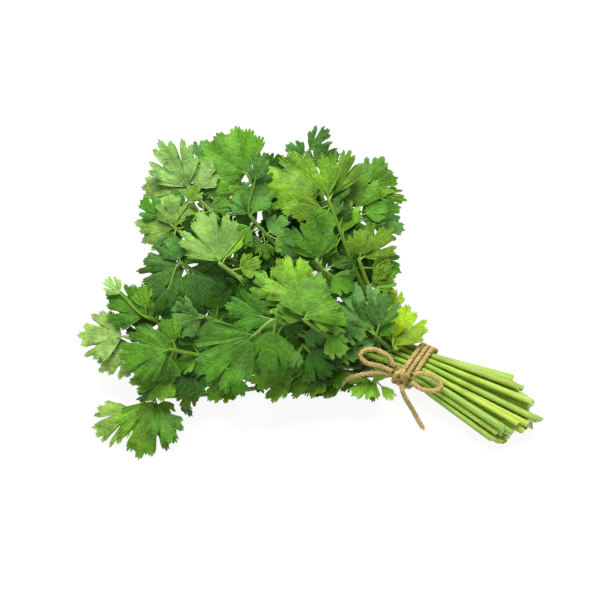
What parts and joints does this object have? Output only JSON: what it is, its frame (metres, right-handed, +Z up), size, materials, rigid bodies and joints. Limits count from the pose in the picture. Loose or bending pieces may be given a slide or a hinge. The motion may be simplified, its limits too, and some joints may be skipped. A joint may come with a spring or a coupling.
{
  "type": "herb bunch",
  "caption": "Cut coriander stems with broad, lobed and toothed leaves fanned to one side, tied with jute twine in a small bow, lying on its side.",
  "frame": {"origin": "middle of the bunch's box, on the surface it lies on", "axes": "+X along the bunch, from the leaves to the cut stem ends; +Y to the far side of the bunch; +Z up"},
  "size_m": [0.2534, 0.2092, 0.0797],
  "materials": {
    "leaf_pale": "fresh green herb, waxy, soft sheen",
    "leaf_light": "fresh green herb, waxy, soft sheen",
    "leaf_mid": "fresh green herb, waxy, soft sheen",
    "leaf_blue": "fresh green herb, waxy, soft sheen",
    "leaf_dark": "fresh green herb, waxy, soft sheen",
    "leaf_olive": "fresh green herb, waxy, soft sheen",
    "leaf_yellow": "fresh green herb, waxy, soft sheen",
    "twine": "natural twisted jute, matt"
  },
  "bodies": {
    "root": {"stem_bright_centre": "leaf_light", "stem_great_cut": "leaf_mid", "stem_palest": "leaf_pale", "stem_upright": "leaf_light", "stem_round_top": "leaf_mid", "stem_arched": "leaf_light", "stem_crown_left": "leaf_pale", "stem_blue_west": "leaf_blue", "stem_folded": "leaf_blue", "stem_centre_top": "leaf_light", "stem_blue_ternate": "leaf_blue", "stem_yellow_tie": "leaf_yellow", "stem_olive": "leaf_olive", "stem_dark_pair": "leaf_mid", "stem_east_upper": "leaf_mid", "stem_mid_upper": "leaf_mid", "stem_yellow_east": "leaf_olive", "stem_finger_top": "leaf_blue", "stem_west_light": "leaf_light", "stem_bright_front": "leaf_light", "stem_long_dark": "leaf_dark", "stem_low_front": "leaf_mid", "stem_centre_under": "leaf_mid", "stem_far_west": "leaf_pale", "stem_west_mid": "leaf_mid", "stem_west_dark": "leaf_mid", "stem_west_blue": "leaf_blue", "stem_great_low": "leaf_mid", "stem_south_west": "leaf_light", "stem_grey_front": "leaf_olive", "stem_dark_low": "leaf_dark", "stem_inner_dark": "leaf_dark", "stem_inner_mid": "leaf_dark", "stem_back_low": "leaf_dark", "stem_back_east_low": "leaf_dark", "twine_wrap": "twine", "twine_loop_left": "twine", "twine_loop_right": "twine", "twine_tail_left": "twine", "twine_tail_front": "twine"}
  },
  "joints": []
}
